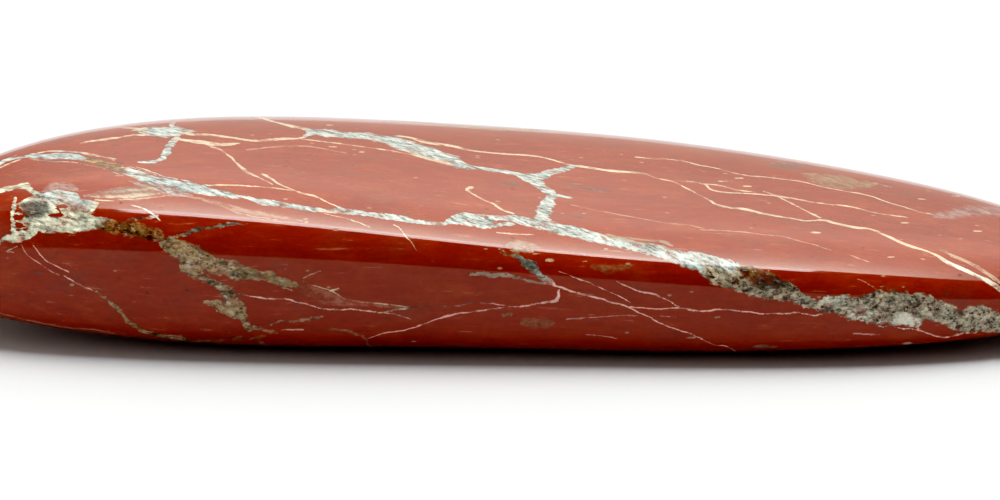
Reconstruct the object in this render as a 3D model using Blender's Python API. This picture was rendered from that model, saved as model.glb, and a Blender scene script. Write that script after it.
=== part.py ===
"""A polished piece of red jasper: one wedge-shaped slab that rests on a small flat spot.

Metres, +Z up. The origin is on the resting plane, below the middle of the stone's length.
The thick end is at -X and the thin end at +X. The long steep side that is seen first faces -Y.
"""

import math

import bmesh
import bpy
import numpy as np
from mathutils import Matrix

STONE_NAME = "red_jasper"
COLLECTION_NAME = "red_jasper_stone"

# Driving dimensions: each row runs in five even steps from the thick end to the thin end.
HALF_LENGTH = 0.0615
NEAR_REACH = (0.0135, 0.0134, 0.0134, 0.0150, 0.0178)
FAR_REACH = (0.0232, 0.0322, 0.0340, 0.0296, 0.0244)
TOP_HEIGHT = (0.0192, 0.0174, 0.0140, 0.0100, 0.0109)
WAIST_HEIGHT = (0.0061, 0.0098, 0.0096, 0.0060, 0.0041)
BASE_HEIGHT = (0.0005, -0.0007, 0.0000, -0.0009, 0.0001)

# The top and base are highest and lowest on this line, and both reaches are measured from it.
CREST_LINE_Y = -0.009

# How square the stone is: 2 is an ellipse, and a larger power has flatter faces and tighter edges.
PLAN_POWER = 2.95
END_POWER = 3.4
NEAR_TOP_POWER = 3.3
FAR_TOP_POWER = 3.0
FAR_BASE_POWER = 3.0
NEAR_BASE_POWER = 3.7

# How the faces are shared out round a section and along the stone.
SEGMENTS_ROUND = 88
SEGMENTS_ALONG = 46
WIDE_FACE_SHARE = 2.4

# The hand-worked faces are not quite true: the swell is this high, with these waves along the stone.
SWELL_HEIGHT = 0.00012
SWELL_WAVES = (5.0, 8.0)

POLISHED_RED = (0.305, 0.038, 0.016, 1.0)
POLISH_ROUGHNESS = 0.12


def clear_scene():
    for obj in list(bpy.data.objects):
        bpy.data.objects.remove(obj, do_unlink=True)


def graded(share, controls):
    """A Bezier blend of the controls, where share runs from 0 at the thick end to 1 at the thin end."""
    last = len(controls) - 1
    return sum(
        math.comb(last, i) * share**i * (1 - share) ** (last - i) * control
        for i, control in enumerate(controls)
    )


def rounding(along, power):
    """How full the section is: 1 at mid-length, falling to 0 at either tip, where along is -1 or 1."""
    return np.sqrt(1 - np.abs(along) ** power)


def surface_points(along, turn):
    """Points of the stone's surface before the flat spot is cut.

    along runs from -1 to 1 over the length. turn is the angle round a section, from 0 at the far
    side through a quarter turn at the top. Each section is four quarters of a superellipse, which
    meet at the top, the two sides and the base.
    """
    share = (along + 1) / 2
    angle = np.arctan2(WIDE_FACE_SHARE * np.sin(turn), np.cos(turn))
    across, upward = np.cos(angle), np.sin(angle)
    on_far_side, on_top = across >= 0, upward >= 0
    power = np.where(
        on_top,
        np.where(on_far_side, FAR_TOP_POWER, NEAR_TOP_POWER),
        np.where(on_far_side, FAR_BASE_POWER, NEAR_BASE_POWER),
    )
    radius = (np.abs(across) ** power + np.abs(upward) ** power) ** (-1 / power)

    waist = graded(share, WAIST_HEIGHT)
    reach = np.where(on_far_side, graded(share, FAR_REACH), graded(share, NEAR_REACH))
    height = np.where(on_top, graded(share, TOP_HEIGHT) - waist, waist - graded(share, BASE_HEIGHT))

    x = HALF_LENGTH * along
    y = CREST_LINE_Y + rounding(along, PLAN_POWER) * reach * radius * across
    z = waist + rounding(along, END_POWER) * height * radius * upward
    first, second = SWELL_WAVES
    swell = np.sin(first * along + 2 * turn) + np.sin(second * along - turn)
    z = z + SWELL_HEIGHT * swell * rounding(along, 2) * np.abs(upward)
    return np.stack([x, y, z], axis=-1)


def shape_from_sphere(bm):
    """Moves the points of a unit sphere, whose poles are on X, on to the stone's surface."""
    places = np.array([vertex.co[:] for vertex in bm.verts])
    along = np.clip(places[:, 0], -1, 1)
    turn = np.arctan2(places[:, 2], places[:, 1])
    for vertex, place in zip(bm.verts, surface_points(along, turn)):
        vertex.co = place


def cut_flat_spot(bm):
    """Cuts off what lies below the resting plane and closes the cut with one flat face."""
    everything = bm.verts[:] + bm.edges[:] + bm.faces[:]
    cut = bmesh.ops.bisect_plane(
        bm, geom=everything, plane_co=(0, 0, 0), plane_no=(0, 0, 1), clear_inner=True
    )
    rim = [edge for edge in cut["geom_cut"] if isinstance(edge, bmesh.types.BMEdge)]
    bmesh.ops.edgeloop_fill(bm, edges=rim)
    bmesh.ops.recalc_face_normals(bm, faces=bm.faces[:])


def polished_red():
    material = bpy.data.materials.new("polished_red_jasper")
    material.use_nodes = True
    shader = material.node_tree.nodes["Principled BSDF"]
    shader.inputs["Base Color"].default_value = POLISHED_RED
    shader.inputs["Roughness"].default_value = POLISH_ROUGHNESS
    shader.inputs["Metallic"].default_value = 0.0
    return material


def build_stone(collection):
    bm = bmesh.new()
    bmesh.ops.create_uvsphere(
        bm,
        u_segments=SEGMENTS_ROUND,
        v_segments=SEGMENTS_ALONG,
        radius=1.0,
        matrix=Matrix.Rotation(math.pi / 2, 4, "Y"),
    )
    shape_from_sphere(bm)
    cut_flat_spot(bm)
    mesh = bpy.data.meshes.new(STONE_NAME)
    bm.to_mesh(mesh)
    bm.free()
    mesh.shade_smooth()
    mesh.set_sharp_from_angle(angle=math.radians(40))
    stone = bpy.data.objects.new(STONE_NAME, mesh)
    stone.data.materials.append(polished_red())
    collection.objects.link(stone)


def main():
    clear_scene()
    collection = bpy.data.collections.new(COLLECTION_NAME)
    bpy.context.scene.collection.children.link(collection)
    build_stone(collection)


main()
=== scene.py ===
"""The look of a polished piece of red jasper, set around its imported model.

Everything is in metres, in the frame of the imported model: the stone rests on z = 0, its thick end
is at -X and its thin end at +X. Veins are named strokes. Where the camera sees a vein, its points
are pixels of the 1000 x 500 frame that are carried on to the stone's surface. Where it doesn't,
they are places on the stone: a distance along it and an angle round it.
"""

import logging
import math
from dataclasses import dataclass, field
from enum import Enum

import bpy
import numpy as np
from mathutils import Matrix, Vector
from mathutils.bvhtree import BVHTree


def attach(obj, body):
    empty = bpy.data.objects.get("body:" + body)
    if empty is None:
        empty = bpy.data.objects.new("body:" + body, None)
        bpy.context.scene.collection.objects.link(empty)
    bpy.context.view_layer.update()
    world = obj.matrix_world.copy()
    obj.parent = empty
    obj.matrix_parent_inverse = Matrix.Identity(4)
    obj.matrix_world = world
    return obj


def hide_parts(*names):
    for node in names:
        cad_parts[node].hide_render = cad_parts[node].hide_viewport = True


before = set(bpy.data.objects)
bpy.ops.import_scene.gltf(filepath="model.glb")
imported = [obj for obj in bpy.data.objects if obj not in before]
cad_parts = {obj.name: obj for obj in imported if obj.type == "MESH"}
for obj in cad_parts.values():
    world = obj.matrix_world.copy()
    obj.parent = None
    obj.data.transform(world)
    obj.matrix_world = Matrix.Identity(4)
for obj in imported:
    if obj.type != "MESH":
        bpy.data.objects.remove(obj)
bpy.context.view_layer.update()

MM = 0.001
NODE_NAME = "red_jasper"

# A distance in mm from a vein that is as good as none.
FAR_AWAY = 9.0

# The least divisors: for a length, and for the sine of an angle in the surroundings.
TINY = 1e-6
SMALL = 0.001

# A Mix node's sockets by number: its share with its two numbers or two colours, and the colour result.
MIX_NUMBERS = (0, 2, 3)
MIX_COLOURS = (0, 6, 7)
MIX_COLOUR_RESULT = 2

log = logging.getLogger("red_jasper")

Pair = tuple[float, float]
Triple = tuple[float, float, float]
Stops = tuple[Triple, ...]
Socket = bpy.types.NodeSocket


class Kind(Enum):
    """What fills a vein: its linear colour, its share of loose grit and how far its grains differ."""

    QUARTZ = ((0.72, 0.70, 0.60), 0.05, 0.15)
    CREAM = ((0.62, 0.475, 0.35), 0.10, 0.25)
    ROSE = ((0.80, 0.48, 0.41), 0.10, 0.25)
    SHARDS = ((0.385, 0.44, 0.43), 0.50, 1.0)
    FROST = ((0.335, 0.40, 0.415), 0.50, 1.0)
    CHALK = ((0.57, 0.57, 0.46), 0.55, 0.85)
    GRAVEL = ((0.335, 0.29, 0.215), 1.0, 1.25)
    CLAY = ((0.275, 0.19, 0.11), 0.65, 1.10)
    OLIVE = ((0.24, 0.17, 0.09), 0.80, 0.75)
    OCHRE = ((0.20, 0.105, 0.040), 0.80, 1.3)
    ASH = ((0.32, 0.27, 0.21), 0.45, 0.50)
    SLATE = ((0.15, 0.15, 0.13), 0.90, 1.0)
    DARK = ((0.09, 0.065, 0.05), 0.45, 0.60)


@dataclass(frozen=True)
class Vein:
    """One stroke on the stone.

    seen holds points (x, y, thickness) in pixels of the frame. before and after hold the hidden
    points at either end, as (distance along X in mm, angle round the stone in degrees, width in
    mm). The angle is 0 at the far side, 90 on top, 180 at the near side and 270 underneath.
    strength is how much of the red it covers.
    """

    name: str
    kind: Kind
    seen: Stops = ()
    strength: float = 1.0
    before: Stops = ()
    after: Stops = ()


@dataclass(frozen=True)
class PhotoCamera:
    """The camera: its height above the horizon, its distance and its lens."""

    elevation_deg: float = 18.0
    distance: float = 0.6
    aim: Triple = (0.0, -0.009, 0.00754)
    lens_mm: float = 216.0
    sensor_mm: float = 36.0
    frame_px: tuple[int, int] = (1000, 500)
    nearest_seen: float = 0.01

    def position(self) -> Vector:
        """Where the camera stands."""
        return Vector(self.aim) - self.forward() * self.distance

    def forward(self) -> Vector:
        """The direction that the camera looks in."""
        tilt = math.radians(self.elevation_deg)
        return Vector((0.0, math.cos(tilt), -math.sin(tilt)))

    def upward(self) -> Vector:
        """The direction that is up in the frame."""
        tilt = math.radians(self.elevation_deg)
        return Vector((0.0, math.sin(tilt), math.cos(tilt)))

    def ray(self, x: float, y: float) -> Vector:
        """The direction from the camera through a pixel of the frame.

        Args:
            x: pixels from the frame's left edge.
            y: pixels from its top edge.

        Returns:
            A unit vector: the forward direction, turned by the pixel's offset from the middle of
            the frame over the focal length in pixels.
        """
        width, height = self.frame_px
        focal_px = self.lens_mm / self.sensor_mm * width
        side = Vector((1.0, 0.0, 0.0)) * (x - width / 2)
        rise = self.upward() * (height / 2 - y)
        return (self.forward() * focal_px + side + rise).normalized()

    def build(self) -> bpy.types.Object:
        """Makes the camera and hands it to the scene.

        Returns:
            The camera object.
        """
        data = bpy.data.cameras.new("photo_camera")
        data.lens = self.lens_mm
        data.sensor_width = self.sensor_mm
        data.clip_start = self.nearest_seen
        camera = bpy.data.objects.new("photo_camera", data)
        camera.location = self.position()
        camera.rotation_euler = (math.radians(90.0 - self.elevation_deg), 0.0, 0.0)
        bpy.context.scene.collection.objects.link(camera)
        bpy.context.scene.camera = camera
        return camera


@dataclass(frozen=True)
class StoneForm:
    """The stone's driving dimensions, in metres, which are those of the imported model.

    Each row runs in five even steps from the thick end to the thin end. A power of 2 makes an
    ellipse, and a larger one flatter faces with tighter edges.
    """

    half_length: float = 0.0615
    near_reach: tuple[float, ...] = (0.0135, 0.0134, 0.0134, 0.0150, 0.0178)
    far_reach: tuple[float, ...] = (0.0232, 0.0322, 0.0340, 0.0296, 0.0244)
    top_height: tuple[float, ...] = (0.0192, 0.0174, 0.0140, 0.0100, 0.0109)
    waist_height: tuple[float, ...] = (0.0061, 0.0098, 0.0096, 0.0060, 0.0041)
    base_height: tuple[float, ...] = (0.0005, -0.0007, 0.0000, -0.0009, 0.0001)
    crest_line: float = -0.009
    plan_power: float = 2.95
    end_power: float = 3.4
    near_top_power: float = 3.3
    far_top_power: float = 3.0
    far_base_power: float = 3.0
    near_base_power: float = 3.7
    wide_face_share: float = 2.4
    swell_height: float = 0.00012
    swell_waves: Pair = (5.0, 8.0)

    def graded(self, share: np.ndarray, controls: tuple[float, ...]) -> np.ndarray:
        """A Bezier blend of the controls.

        Args:
            share: 0 at the thick end to 1 at the thin end.
            controls: the row of dimensions.

        Returns:
            The sum of each control times its Bernstein weight at share.
        """
        last = len(controls) - 1
        weights = (math.comb(last, i) * share**i * (1 - share) ** (last - i) for i in range(last + 1))
        return sum(weight * control for weight, control in zip(weights, controls))

    def rounding(self, along: np.ndarray, power: float) -> np.ndarray:
        """How full the section is: the square root of 1 less the power of the distance along."""
        return np.sqrt(np.clip(1 - np.abs(along) ** power, 0, 1))

    def points(self, along: np.ndarray, turn: np.ndarray) -> np.ndarray:
        """Points of the stone's surface, with the flat spot that it rests on.

        Each section is four quarters of a superellipse that meet at the top, the two sides and
        the base. Its reach, height and waist are graded along the stone, and a low swell of two
        waves keeps the faces from being quite true. Nothing lies below z = 0.

        Args:
            along: from -1 at the thick end to 1 at the thin end.
            turn: the angle round the section in radians, 0 at the far side and a quarter turn on top.

        Returns:
            An array of the same shape with x, y and z in metres on its last axis.
        """
        share = (along + 1) / 2
        angle = np.arctan2(self.wide_face_share * np.sin(turn), np.cos(turn))
        across, upward = np.cos(angle), np.sin(angle)
        on_far_side, on_top = across >= 0, upward >= 0
        power = np.where(
            on_top,
            np.where(on_far_side, self.far_top_power, self.near_top_power),
            np.where(on_far_side, self.far_base_power, self.near_base_power),
        )
        radius = (np.abs(across) ** power + np.abs(upward) ** power) ** (-1 / power)
        waist = self.graded(share, self.waist_height)
        far, near = self.graded(share, self.far_reach), self.graded(share, self.near_reach)
        top, base = self.graded(share, self.top_height), self.graded(share, self.base_height)
        reach = np.where(on_far_side, far, near)
        height = np.where(on_top, top - waist, waist - base)
        x = self.half_length * along + 0 * turn
        y = self.crest_line + self.rounding(along, self.plan_power) * reach * radius * across
        z = waist + self.rounding(along, self.end_power) * height * radius * upward
        first, second = self.swell_waves
        swell = np.sin(first * along + 2 * turn) + np.sin(second * along - turn)
        z = z + self.swell_height * swell * self.rounding(along, 2) * np.abs(upward)
        return np.stack([x, y, np.maximum(z, 0)], axis=-1)


@dataclass
class StoneMesh:
    """The stone's closed surface on a fine grid of rings and points round each ring.

    Rings crowd towards the tips, where the section shrinks fast, and each tip is one vertex.
    """

    form: StoneForm
    rings: int = 419
    around: int = 232
    crowding: float = 0.3
    vertices: np.ndarray = field(init=False)
    quads: np.ndarray = field(init=False)
    caps: np.ndarray = field(init=False)

    def __post_init__(self) -> None:
        """Works out the vertices and faces."""
        count = self.rings + 1
        share = np.arange(1, count) / count
        eased = share + self.crowding * np.sin(2 * np.pi * share) / (2 * np.pi)
        along = -np.cos(np.pi * eased)[:, None]
        turn = 2 * np.pi * np.arange(self.around)[None, :] / self.around
        wall = self.form.points(along + 0 * turn, turn + 0 * along).reshape(-1, 3)
        ends = self.form.points(np.array([-1.0, 1.0]), np.zeros(2))
        self.vertices = np.concatenate([wall, ends])
        ring = np.arange(self.rings - 1)[:, None] * self.around
        step = np.arange(self.around)[None, :]
        beside = (step + 1) % self.around
        corners = (ring + step, ring + beside, ring + self.around + beside, ring + self.around + step)
        self.quads = np.stack(corners, axis=-1).reshape(-1, 4)
        first, last = len(wall), len(wall) + 1
        step, beside = step[0], beside[0]
        rim = (self.rings - 1) * self.around
        thick_cap = np.stack([np.full_like(step, first), beside, step], axis=-1)
        thin_cap = np.stack([np.full_like(step, last), rim + step, rim + beside], axis=-1)
        self.caps = np.concatenate([thick_cap, thin_cap])

    def faces(self) -> list[list[int]]:
        """All faces as lists of vertex numbers."""
        return self.quads.tolist() + self.caps.tolist()


@dataclass
class Path:
    """A vein laid on the surface: its points, the surface's normals there, half-widths and strength."""

    spots: np.ndarray
    normals: np.ndarray
    halves: np.ndarray
    vein: Vein


@dataclass
class VeinLayer:
    """Lays the veins on the stone and works out, at every vertex, how near each of them is.

    Veins that run far apart share a channel. A channel holds, for each vertex, the distance to its
    nearest vein with a sign for the side it is on, that vein's half-width and its strength. The
    half-width falls below zero past a vein's ends and far to its sides, so that a face between two
    veins shows neither.

    Lengths are in mm. A path's points lie no further apart than longest_step, and boxes round each
    part_length of them find the vertices near it, within the margins. Past guard beyond a vein's
    edge its half-width falls off by guard_slope, and two veins of a channel keep more than spacing
    between their guards. sharpening lists thicknesses in pixels, and the share that each keeps.
    """

    mesh: StoneMesh
    camera: PhotoCamera
    longest_step: float = 0.7
    guard: float = 0.9
    guard_slope: float = 3.0
    spacing: float = 0.7
    fewest_steps: int = 3
    part_length: int = 12
    channel_margin: float = 3.0
    tone_margin: float = 2.0
    tone_spread: float = 0.35
    thinnest: float = 0.03
    px_per_mm: float = 10.0
    widest_ratio: float = 0.24
    search_mm: range = range(-30, 31, 2)
    sharpening: tuple[Triple, Triple] = ((2.0, 6.0, 14.0), (0.49, 0.71, 0.9))
    tree: BVHTree = field(init=False)

    def __post_init__(self) -> None:
        """Puts the surface into a search tree."""
        self.tree = BVHTree.FromPolygons(self.mesh.vertices.tolist(), self.mesh.faces())

    def hit(self, x: float, y: float) -> Vector | None:
        """The place on the stone that a pixel shows, or None where it misses the stone."""
        return self.tree.ray_cast(self.camera.position(), self.camera.ray(x, y))[0]

    def nearest_to_ray(self, x: float, y: float) -> Vector:
        """The stone's surface point nearest to a pixel's line of sight, for a pixel beside it.

        Args:
            x: pixels from the frame's left edge.
            y: pixels from its top edge.

        Returns:
            The place on the surface.
        """
        start, way = self.camera.position(), self.camera.ray(x, y)
        reach = (self.camera.distance + step * MM for step in self.search_mm)
        found = (self.tree.find_nearest(start + way * distance) for distance in reach)
        return min(found, key=lambda near: near[3])[0]

    def seen_half(self, stops: Stops, index: int, centre: Vector) -> float:
        """Half a seen vein's width on the surface, in mm.

        Args:
            stops: the vein's pixels and thicknesses.
            index: which of them.
            centre: that pixel's place on the stone.

        Returns:
            Half the distance across its course between the two places that the vein's edges show.
            One side alone counts where the other misses the stone. It is held to a ratio of the
            thickness and then scaled by it, because thin lines look broader in a picture.
        """
        x, y, thickness = stops[index]
        ahead, behind = stops[min(index + 1, len(stops) - 1)], stops[max(index - 1, 0)]
        course = np.array([ahead[0] - behind[0], ahead[1] - behind[1]], float)
        course /= max(float(np.linalg.norm(course)), TINY)
        across = np.array([-course[1], course[0]]) * thickness / 2
        along = self.hit(x + course[0], y + course[1]) or self.hit(x - course[0], y - course[1])
        tangent = (along - centre).normalized() if along else Vector((1, 0, 0))
        widths = []
        for side in (-1, 1):
            edge = self.hit(x + side * across[0], y + side * across[1])
            if edge:
                offset = edge - centre
                widths.append((offset - tangent * offset.dot(tangent)).length / MM)
        half = sum(widths) / len(widths) if widths else thickness / 2 / self.px_per_mm
        return min(half, thickness * self.widest_ratio) * np.interp(thickness, *self.sharpening)

    def stops(self, vein: Vein) -> list[tuple[Vector, float]]:
        """Carries the vein's given points on to the stone.

        Args:
            vein: the vein.

        Returns:
            Each point's place with half the vein's width there, in mm.
        """
        placed: list[tuple[Vector, float]] = []
        for part in (vein.before, vein.seen, vein.after):
            for index, (first, second, size) in enumerate(part):
                if part is vein.seen:
                    spot = self.hit(first, second) or self.nearest_to_ray(first, second)
                    placed.append((spot, self.seen_half(part, index, spot)))
                else:
                    along = np.array([first * MM / self.mesh.form.half_length])
                    spot = self.mesh.form.points(along, np.array([math.radians(second)]))[0]
                    placed.append((Vector(spot.tolist()), size / 2))
        return placed

    def lay(self, vein: Vein) -> Path:
        """Carries a vein on to the stone.

        Its points are joined by a Catmull-Rom curve, each point of which is then moved to the
        nearest point of the surface.

        Args:
            vein: the vein to lay.

        Returns:
            The path, in mm.
        """
        placed = self.stops(vein)
        rows = np.array([[*(spot / MM), half] for spot, half in placed])
        gaps = np.linalg.norm(np.diff(rows[:, :3], axis=0), axis=1)
        steps = np.maximum(np.ceil(gaps / self.longest_step), self.fewest_steps).astype(int)
        first = np.repeat(np.arange(len(steps)), steps)
        share = np.concatenate([np.arange(count) / count for count in steps])[:, None]
        rows = np.concatenate([rows[:1], rows, rows[-1:]])
        p0, p1, p2, p3 = (rows[first + i] for i in range(4))
        curve = p1 + 0.5 * share * (
            p2 - p0 + share * (2 * p0 - 5 * p1 + 4 * p2 - p3 + share * (3 * (p1 - p2) + p3 - p0))
        )
        rows = np.concatenate([curve, rows[-1:]])
        found = [self.tree.find_nearest(Vector(row[:3] * MM)) for row in rows]
        spots = np.array([place[:] for place, _, _, _ in found]) / MM
        normals = np.array([normal[:] for _, normal, _, _ in found])
        return Path(spots, normals, np.maximum(rows[:, 3], self.thinnest), vein)

    def distances(self, path: Path, spots: np.ndarray) -> tuple[np.ndarray, np.ndarray]:
        """How far some points are from a path, and how wide the path is there.

        Each segment's nearest point gives the offset, and its sign is that of the triple product
        of the course, the surface's normal and the offset. Past either end only the part across
        the course counts, and the half-width shrinks by the part along it.

        Args:
            path: the vein's path, in mm.
            spots: the points, in mm.

        Returns:
            The signed distances and the half-widths.
        """
        starts, ends = path.spots[:-1], path.spots[1:]
        course = ends - starts
        lengths = np.maximum(np.linalg.norm(course, axis=1), TINY)
        course = course / lengths[:, None]
        offset = spots[:, None] - starts[None]
        travel = np.einsum("vsk,sk->vs", offset, course)
        held = np.clip(travel, 0, lengths)
        across = offset - course * travel[..., None]
        beyond = np.abs(travel - held)
        sides = np.linalg.norm(across, axis=2)
        near = np.argmin(np.hypot(sides, beyond), axis=1)
        rows = np.arange(len(spots))
        over_start = (near == 0) & (travel[rows, near] < 0)
        over_end = (near == len(lengths) - 1) & (travel[rows, near] > lengths[near])
        past = np.where(over_start | over_end, beyond[rows, near], 0)
        whole = np.hypot(sides[rows, near], beyond[rows, near] - past)
        turned = np.cross(course, path.normals[:-1])
        sign = np.where(np.einsum("vk,vk->v", turned[near], across[rows, near]) < 0, -1.0, 1.0)
        share = held[rows, near] / lengths[near]
        halves = path.halves[near] * (1 - share) + path.halves[near + 1] * share
        reach = np.hypot(whole, past)
        fade = self.guard_slope * np.maximum(reach - halves - self.guard, 0)
        return sign * whole, halves - past - fade

    def close(self, first: Path, second: Path) -> bool:
        """Whether two veins run too near each other to share a channel.

        Args:
            first: one vein's path.
            second: the other's.

        Returns:
            True if the gap between their edges is less than twice the guard and the spacing.
        """
        gaps = np.linalg.norm(first.spots[:, None] - second.spots[None], axis=2)
        gaps = gaps - first.halves[:, None] - second.halves[None]
        return bool(gaps.min() < 2 * self.guard + self.spacing)

    def channels(self, paths: list[Path]) -> list[list[Path]]:
        """Shares the paths out, so that no two in a channel run close to each other.

        Args:
            paths: all the paths. Each goes into the first channel that has room for it.

        Returns:
            The paths of each channel.
        """
        shared: list[list[Path]] = []
        for path in paths:
            room = (group for group in shared if not any(self.close(path, other) for other in group))
            group = next(room, None)
            if group is None:
                shared.append([path])
            else:
                group.append(path)
        return shared

    def around_path(self, path: Path, spots: np.ndarray, margin: float) -> np.ndarray:
        """Picks the points near a path.

        Args:
            path: the vein's path, in mm.
            spots: the points, in mm.
            margin: how far round the boxes of the path's parts to look, in mm, beside its width.

        Returns:
            The numbers of the points.
        """
        picked = np.zeros(len(spots), bool)
        margin = margin + path.halves.max()
        for start in range(0, len(path.spots) - 1, self.part_length):
            part = path.spots[start : start + self.part_length + 1]
            inside = (spots > part.min(axis=0) - margin) & (spots < part.max(axis=0) + margin)
            picked |= inside.all(axis=1)
        return np.flatnonzero(picked)

    def channel_values(self, group: list[Path]) -> np.ndarray:
        """Works out one channel.

        Args:
            group: the channel's paths.

        Returns:
            The signed distance, half-width and strength of the nearest vein at every vertex.
        """
        spots = self.mesh.vertices / MM
        values = np.tile(np.array([FAR_AWAY, -FAR_AWAY, 0.0]), (len(spots), 1))
        nearest = np.full(len(spots), np.inf)
        for path in group:
            picked = self.around_path(path, spots, self.channel_margin)
            distance, half = self.distances(path, spots[picked])
            gap = np.abs(distance) - half
            closer = gap < nearest[picked]
            chosen = picked[closer]
            nearest[chosen] = gap[closer]
            strength = np.full(closer.sum(), path.vein.strength)
            values[chosen] = np.stack([distance[closer], half[closer], strength], axis=1)
        return values

    def tones(self, paths: list[Path]) -> np.ndarray:
        """The filling's colour, grit and contrast at every vertex.

        Later veins are painted over earlier ones, and each reaches a little past its edges.

        Args:
            paths: the veins and stains, in the order that they are painted.

        Returns:
            An array of six values for each vertex: three for the colour, the grit, the contrast
            and a zero.
        """
        spots, spread = self.mesh.vertices / MM, self.tone_spread
        values = np.tile(self.tone(Kind.CREAM), (len(spots), 1))
        for path in paths:
            picked = self.around_path(path, spots, self.tone_margin)
            distance, half = self.distances(path, spots[picked])
            cover = np.clip((half + 2 * spread - np.abs(distance)) / spread, 0, 1)[:, None]
            cover = cover * cover * (3 - 2 * cover)
            values[picked] += (self.tone(path.vein.kind) - values[picked]) * cover
        return values

    @staticmethod
    def tone(kind: Kind) -> np.ndarray:
        """A kind's colour, grit and contrast in one row, with a zero at its end."""
        colour, grit, contrast = kind.value
        return np.array([*colour, grit, contrast, 0.0])


@dataclass(frozen=True)
class Pattern:
    """A cloudy noise, and the step that is taken from it where one is.

    size is that of its largest features, in the unit of the place that it is read at. low and high
    are the noise's values between which the step rises. It falls where low is the greater.
    """

    size: float
    detail: float = 3.0
    rough: float = 0.55
    twist: float = 0.0
    low: float = 0.0
    high: float = 1.0


@dataclass(frozen=True)
class Scatter:
    """Small dots, one to a cell, in some of the cells.

    size is a cell's, in mm. A dot fades from core to rim, which are distances from the cell's
    middle in cells. Each cell has a random number from 0 to 1: up to bare there is no dot, and from
    full on it is whole. strength is how much of the dot's colour shows.
    """

    size: float
    rim: float
    core: float
    bare: float
    full: float
    strength: float


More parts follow.
